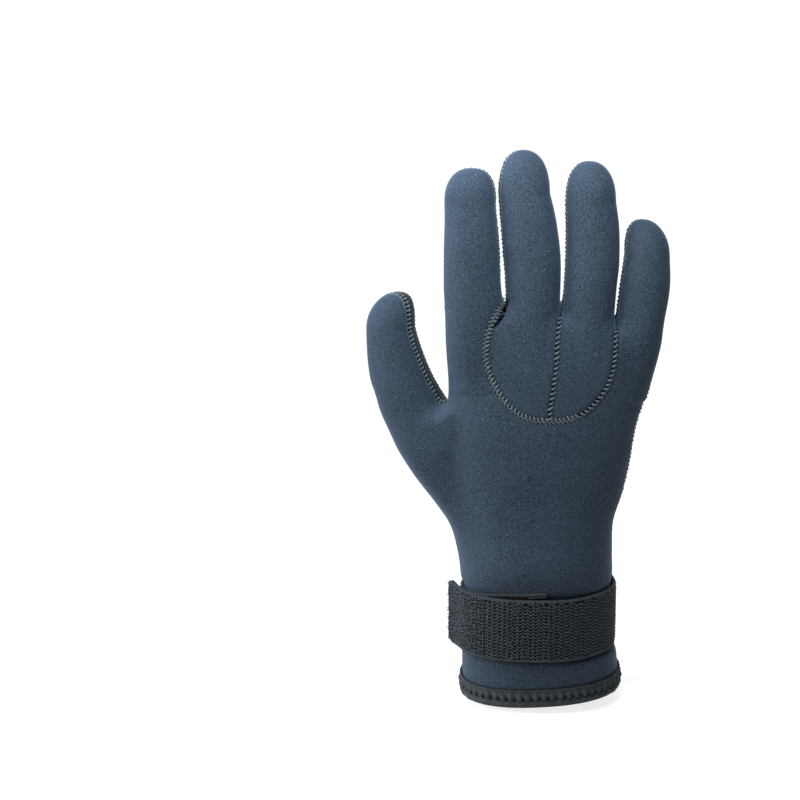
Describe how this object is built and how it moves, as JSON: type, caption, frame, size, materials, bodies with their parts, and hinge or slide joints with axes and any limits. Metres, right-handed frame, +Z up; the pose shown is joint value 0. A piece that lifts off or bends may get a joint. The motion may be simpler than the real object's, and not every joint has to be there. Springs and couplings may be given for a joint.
{
  "type": "boating glove",
  "caption": "Right-hand neoprene boating glove, worn upright: knuckle panels, dotted grip palm, bound cuff and a wrap-round wrist strap with a hook patch",
  "frame": {"origin": "middle of the cuff mouth, where the wrist goes in", "axes": "+Z up along the hand towards the fingertips, +Y towards the palm, -Y the back of the hand, -X the thumb side"},
  "size_m": [0.1501, 0.0704, 0.2767],
  "materials": {
    "navy_neoprene": "matt nylon knit bonded to neoprene foam, slate navy",
    "grip_neoprene": "dark grey-green knit with small raised pale rubber dots in clusters",
    "binding_tape": "black stretch tape, sewn down with a zigzag stitch",
    "loop_webbing": "black woven loop webbing with ribbed face and plain selvedges",
    "hook_tape": "black hook tape, fine rows of hooks"
  },
  "bodies": {
    "root": {"back_panel": "navy_neoprene", "middle_finger_panel": "navy_neoprene", "ring_finger_panel": "navy_neoprene", "palm_panel": "grip_neoprene", "hem_binding": "binding_tape", "wrist_strap": "loop_webbing", "hook_patch": "hook_tape"}
  },
  "joints": []
}
